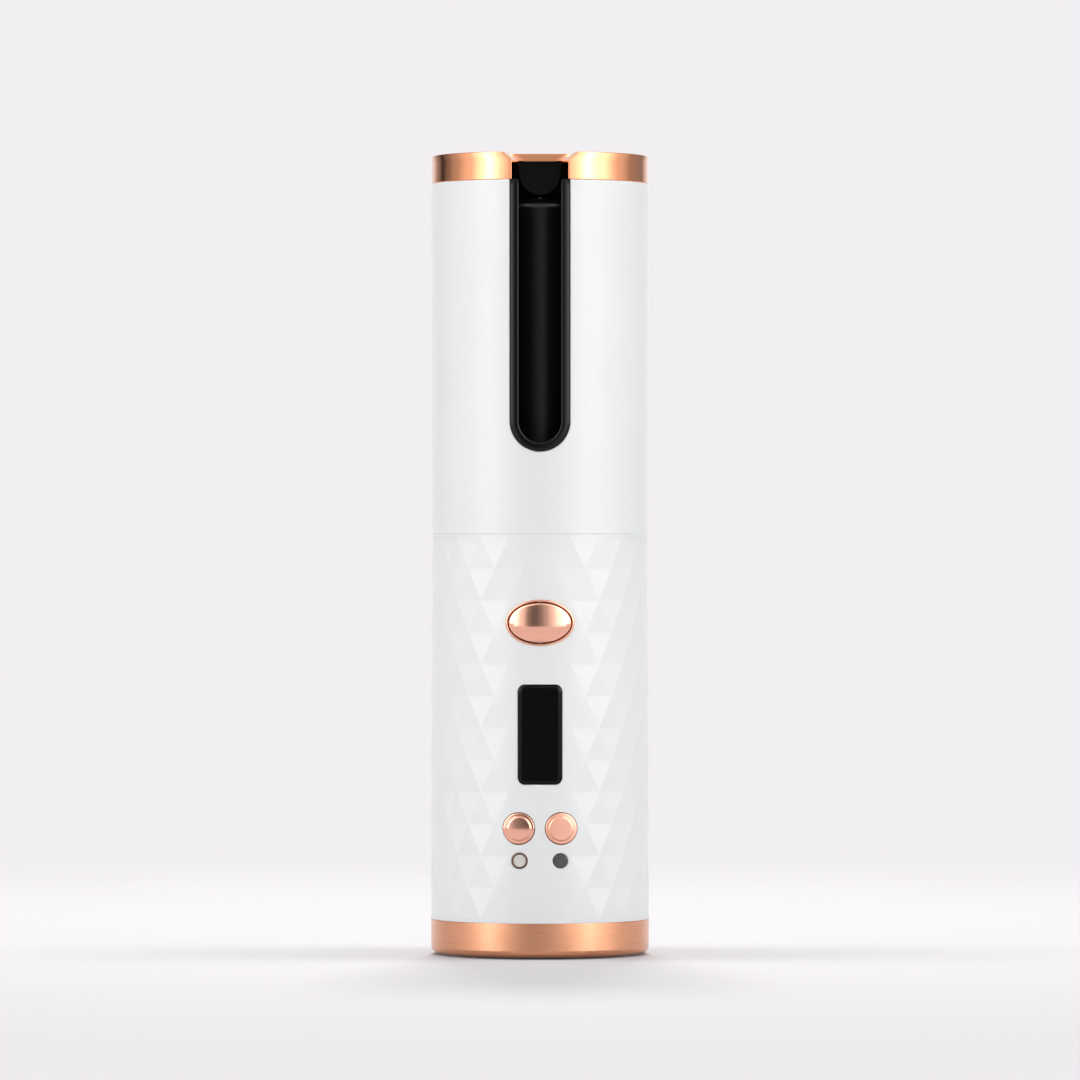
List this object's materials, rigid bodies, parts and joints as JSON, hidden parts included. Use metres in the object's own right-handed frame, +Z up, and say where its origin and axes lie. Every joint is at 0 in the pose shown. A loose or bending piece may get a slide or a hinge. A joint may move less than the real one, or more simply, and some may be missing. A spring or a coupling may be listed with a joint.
{
  "type": "automatic hair curler",
  "caption": "Cordless automatic hair curler: upright cylinder with a long hair slot, heated barrel, motor-driven rotor, display, oval rocker and round buttons, rose-gold end rings",
  "frame": {"origin": "middle of the base, on the surface the curler stands on", "axes": "+Z up along the body, -Y the front with the hair slot and the buttons, +X to the right seen from the front"},
  "size_m": [0.056, 0.0569, 0.204],
  "materials": {
    "shell_white": "smooth satin-gloss white moulded plastic",
    "rose_gold_polished": "mirror-polished rose-gold electroplated plastic",
    "rose_gold_satin": "satin rose-gold electroplated plastic",
    "base_black": "fine-textured black plastic",
    "foot_rubber": "soft matt rubber",
    "liner_black": "glossy heat-resistant black plastic",
    "barrel_ceramic": "black ceramic coating on aluminium",
    "heat_plastic": "heat-resistant dark plastic",
    "frame_grey": "moulded frame plastic",
    "heater_ceramic": "wrapped ceramic heater plate",
    "heat_aluminium": "extruded aluminium",
    "sensor_glass": "glass-bead sensor",
    "fuse_metal": "metal-cased thermal fuse",
    "steel": "plain steel",
    "bush_bronze": "turned brass and sintered bronze",
    "gear_plastic": "natural acetal",
    "magnet": "nickel-plated magnet",
    "board_green": "green solder mask",
    "cell_wrap": "blue shrink wrap",
    "nickel": "nickel strip",
    "display_black": "glossy black tinted window",
    "display_glass": "display glass",
    "switch_black": "switch housing plastic",
    "plunger_white": "switch plunger plastic",
    "indicator_rim": "dark plated rim",
    "indicator_clear": "frosted clear light pipe",
    "indicator_dark": "dark grey tinted lens",
    "led_yellow": "small surface-mount light",
    "lead_red": "silicone-insulated wire",
    "lead_black": "silicone-insulated wire"
  },
  "bodies": {
    "housing": {"upper_shell": "shell_white", "lower_shell": "shell_white", "top_ring": "rose_gold_polished", "rocker_bezel": "rose_gold_polished", "bottom_ring": "rose_gold_satin", "base_plate": "base_black", "foot_ring": "foot_rubber", "chamber_liner": "liner_black", "barrel": "barrel_ceramic", "barrel_base": "heat_plastic", "heat_shield": "heat_plastic", "barrel_bush": "heat_plastic", "drive_deck": "frame_grey", "cell_cradle": "frame_grey", "display_holder": "frame_grey", "heater_plates": "heater_ceramic", "heat_spreaders": "heat_aluminium", "thermistor": "sensor_glass", "thermal_fuse": "fuse_metal", "rocker_pin": "steel", "base_screws": "steel", "barrel_screws": "steel", "deck_screws": "steel", "motor_screws": "steel", "board_screws": "steel", "gearbox": "steel", "motor_can": "steel", "usb_socket": "steel", "shaft_bush": "bush_bronze", "main_board": "board_green", "charge_board": "board_green", "sensor_board": "board_green", "battery_cell_left": "cell_wrap", "battery_cell_right": "cell_wrap", "cell_links": "nickel", "display_window": "display_black", "display_module": "display_glass", "switch_housings": "switch_black", "indicator_ring": "indicator_rim", "indicator_lens_left": "indicator_clear", "indicator_lens_right": "indicator_dark", "indicator_leds": "led_yellow", "heater_leads": "lead_red", "board_leads": "lead_black"},
    "rotor": {"rotor_hub": "liner_black", "rotor_disc": "rose_gold_polished", "rotor_screw": "steel", "drive_shaft": "steel", "driven_gear": "gear_plastic", "gear_pin": "steel", "home_magnet": "magnet", "retaining_ring": "steel"},
    "pinion": {"motor_pinion": "bush_bronze", "gearbox_shaft": "steel"},
    "rocker": {"rocker_button": "rose_gold_polished"},
    "rocker_plunger_left": {"rocker_plunger_left": "plunger_white"},
    "rocker_plunger_right": {"rocker_plunger_right": "plunger_white"},
    "button_left": {"button_left": "rose_gold_polished"},
    "button_right": {"button_right": "rose_gold_polished"}
  },
  "joints": [
    {"name": "rotor_spin", "type": "hinge", "parent": "housing", "child": "rotor", "pos_m": [0, 0, 0.15], "axis": [0, 0, 1], "continuous": true},
    {"name": "pinion_spin", "type": "hinge", "parent": "housing", "child": "pinion", "pos_m": [0, 0.0162, 0.115], "axis": [0, 0, 1], "continuous": true},
    {"name": "rocker_tilt", "type": "hinge", "parent": "housing", "child": "rocker", "pos_m": [0, -0.0246, 0.085], "axis": [0, 0, 1], "range_deg": [-2.5, 2.5], "stiffness_Nm_per_rad": 0.2},
    {"name": "rocker_left_press", "type": "slide", "parent": "housing", "child": "rocker_plunger_left", "axis": [0, 1, 0], "range_m": [-0.00035, 0.00035]},
    {"name": "rocker_right_press", "type": "slide", "parent": "housing", "child": "rocker_plunger_right", "axis": [0, 1, 0], "range_m": [-0.00035, 0.00035]},
    {"name": "button_left_press", "type": "slide", "parent": "housing", "child": "button_left", "axis": [0, 1, 0], "range_m": [0, 0.0004], "stiffness_N_per_m": 2500},
    {"name": "button_right_press", "type": "slide", "parent": "housing", "child": "button_right", "axis": [0, 1, 0], "range_m": [0, 0.0004], "stiffness_N_per_m": 2500}
  ],
  "couplings": [
    {"joint": "pinion_spin", "follows": "rotor_spin", "ratio": -2.8571},
    {"joint": "rocker_left_press", "follows": "rocker_tilt", "m_per_rad": -0.0055},
    {"joint": "rocker_right_press", "follows": "rocker_tilt", "m_per_rad": 0.0055}
  ]
}
